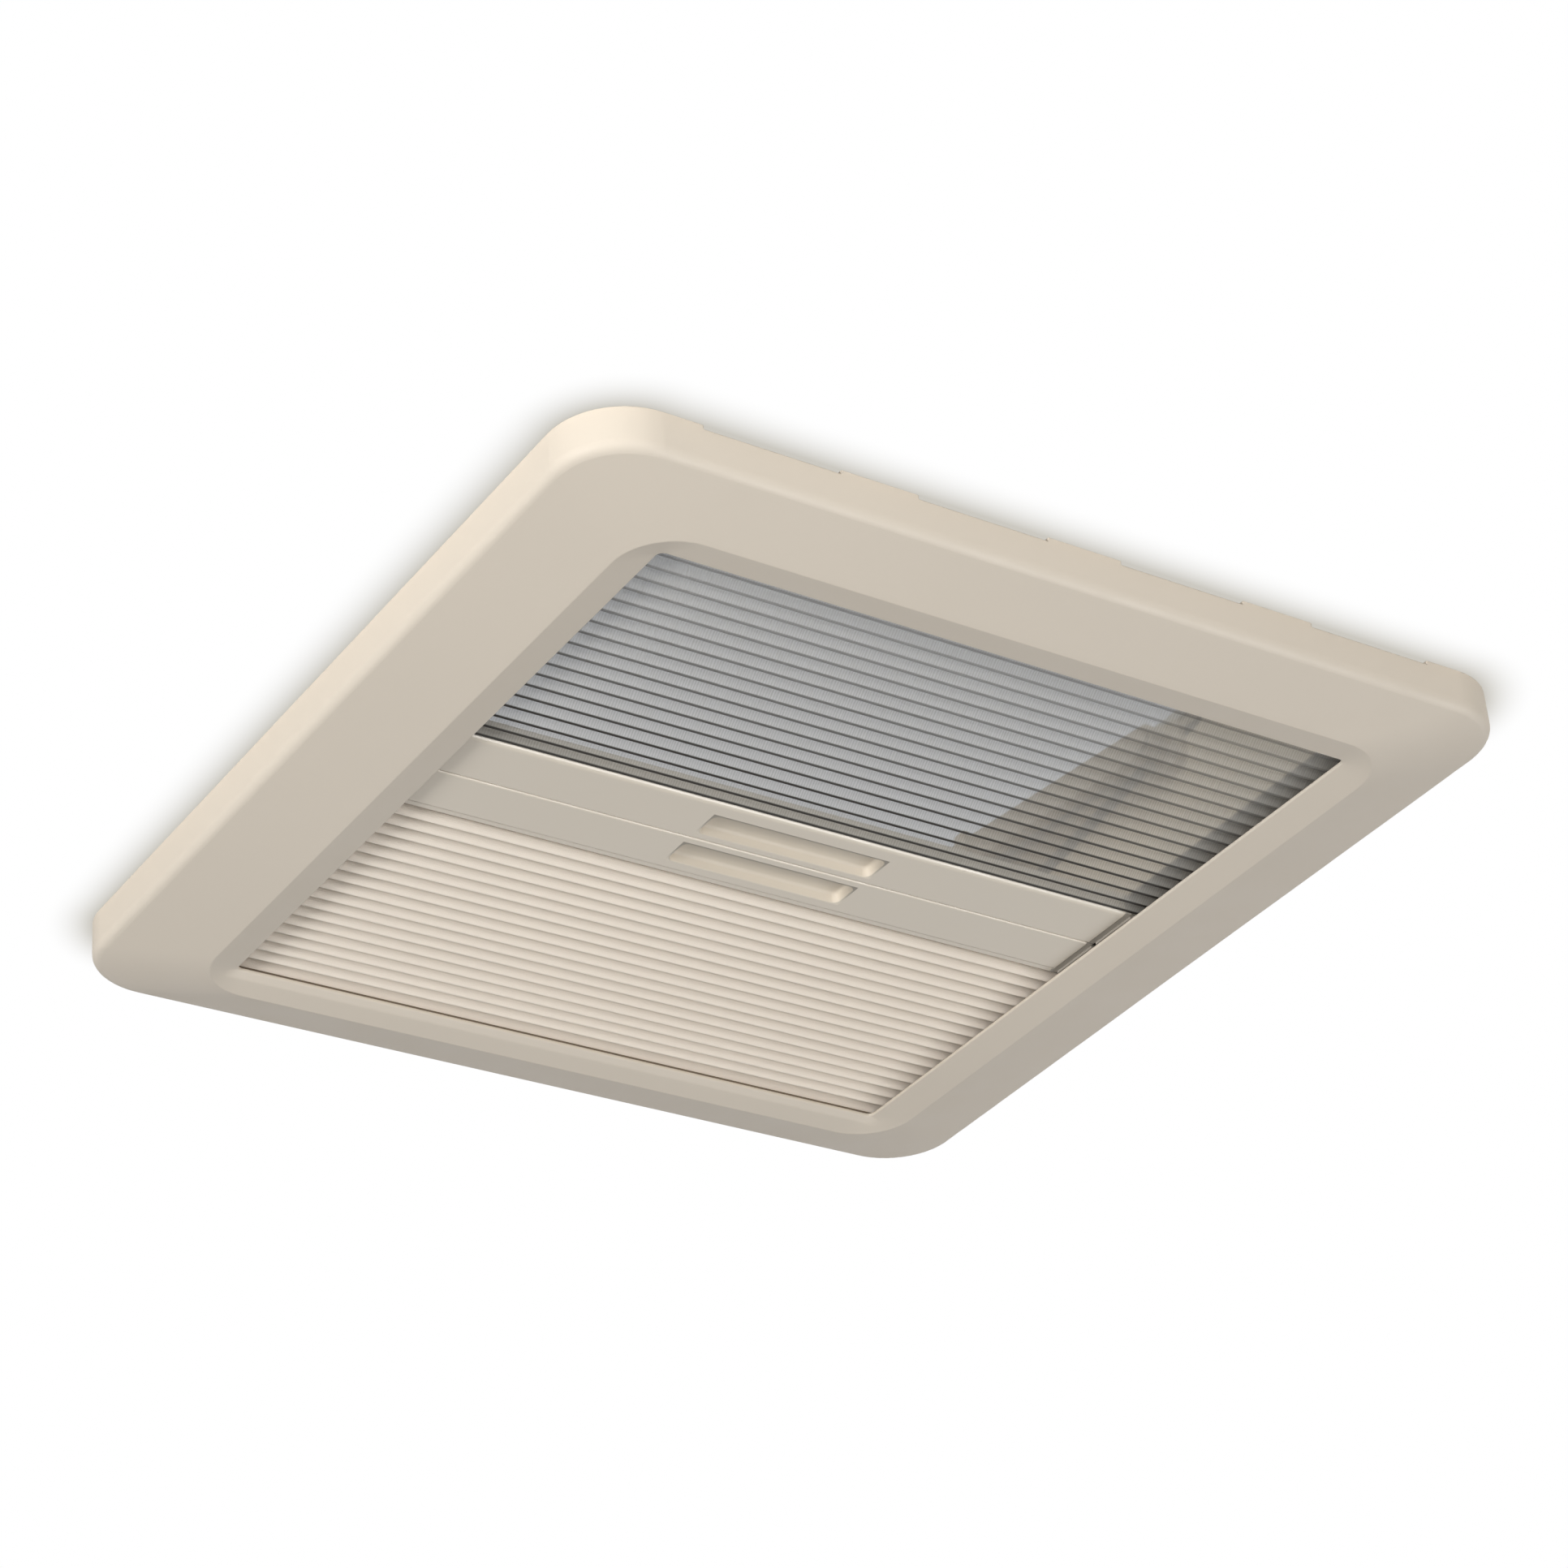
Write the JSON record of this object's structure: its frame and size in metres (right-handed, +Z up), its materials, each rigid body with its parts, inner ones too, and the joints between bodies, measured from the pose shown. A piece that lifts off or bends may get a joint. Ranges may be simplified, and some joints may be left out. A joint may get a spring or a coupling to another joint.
{
  "type": "rv skylight",
  "caption": "Hinged roof skylight for a caravan, with a domed double pane and a ceiling frame that holds a pleated flyscreen and blind.",
  "frame": {"origin": "centre of the roof cut-out, on the roof's outer face, which is also the centre of the roof screws' pattern", "axes": "+Z up and out of the vehicle; X along the pleats and handle bars; Y from the flyscreen's end (-) to the blind's end (+), with the dome's hinges at -Y"},
  "size_m": [0.48, 0.48, 0.1538],
  "materials": {
    "shell_plastic": "fine satin moulded white, slightly warm",
    "channel_plastic": "satin dark grey",
    "bar_plastic": "satin warm white",
    "cap_plastic": "satin grey beige",
    "dome_rim_plastic": "satin off-white",
    "fitting_plastic": "satin light grey",
    "bow_metal": "powder-coated light grey",
    "outer_acrylic": "clear, polished",
    "inner_acrylic": "clear, polished",
    "flyscreen_mesh": "fine dark mesh, pleated, see-through",
    "blind_fabric": "dense cream cloth, pleated",
    "seal_rubber": "matte black",
    "steel": "zinc-plated",
    "magnet": "nickel-plated"
  },
  "bodies": {
    "frame": {"roof_frame": "shell_plastic", "roof_gasket": "seal_rubber", "adapter_frame": "shell_plastic", "clamp_screws": "steel", "ceiling_frame": "shell_plastic", "frame_clips": "steel", "side_rail_left": "channel_plastic", "side_rail_right": "channel_plastic", "flyscreen_end_profile": "channel_plastic", "blind_end_profile": "channel_plastic", "screen_corners": "channel_plastic", "corner_screws": "steel", "dome_seal": "seal_rubber", "hinge_brackets": "fitting_plastic", "hinge_pins": "steel", "hinge_bracket_screws": "steel", "bow_brackets": "fitting_plastic", "bow_pivot_pins": "steel", "bow_bracket_screws": "steel", "bow_rest_clips": "fitting_plastic", "rest_clip_screws": "steel", "flyscreen_cloth": "flyscreen_mesh", "blind_cloth": "blind_fabric"},
    "dome": {"dome_rim": "dome_rim_plastic", "dome_outer_pane": "outer_acrylic", "dome_inner_pane": "inner_acrylic", "hinge_leaves": "fitting_plastic", "hinge_leaf_screws": "steel", "dome_rails": "fitting_plastic", "rail_screws": "steel"},
    "bow": {"bow_arm_left": "bow_metal", "bow_arm_right": "bow_metal", "bow_crossbar": "bow_metal"},
    "bow_shoes": {"bow_shoes": "fitting_plastic"},
    "flyscreen_bar": {"flyscreen_bar": "bar_plastic", "flyscreen_bar_caps": "cap_plastic", "flyscreen_bar_magnets": "magnet"},
    "blind_bar": {"blind_bar": "bar_plastic", "blind_bar_caps": "cap_plastic", "blind_bar_magnets": "magnet"}
  },
  "joints": [
    {"name": "dome_hinge", "type": "hinge", "parent": "frame", "child": "dome", "pos_m": [0, -0.205, 0.0267], "axis": [1, 0, 0], "range_deg": [0, 45]},
    {"name": "bow_pivot", "type": "hinge", "parent": "frame", "child": "bow", "pos_m": [0, -0.049, 0.0267], "axis": [1, 0, 0], "range_deg": [0, 90]},
    {"name": "shoe_pivot", "type": "hinge", "parent": "bow", "child": "bow_shoes", "pos_m": [0, 0.10612, 0.04328], "axis": [1, 0, 0], "range_deg": [-45, 0]},
    {"name": "flyscreen_slide", "type": "slide", "parent": "frame", "child": "flyscreen_bar", "axis": [0, -1, 0], "range_m": [0, 0.141], "deforming": ["flyscreen_cloth"]},
    {"name": "blind_slide", "type": "slide", "parent": "frame", "child": "blind_bar", "axis": [0, 1, 0], "range_m": [0, 0.141], "deforming": ["blind_cloth"]}
  ],
  "couplings": [
    {"joint": "bow_pivot", "follows": "dome_hinge", "ratio": 2},
    {"joint": "shoe_pivot", "follows": "dome_hinge", "ratio": -1}
  ]
}
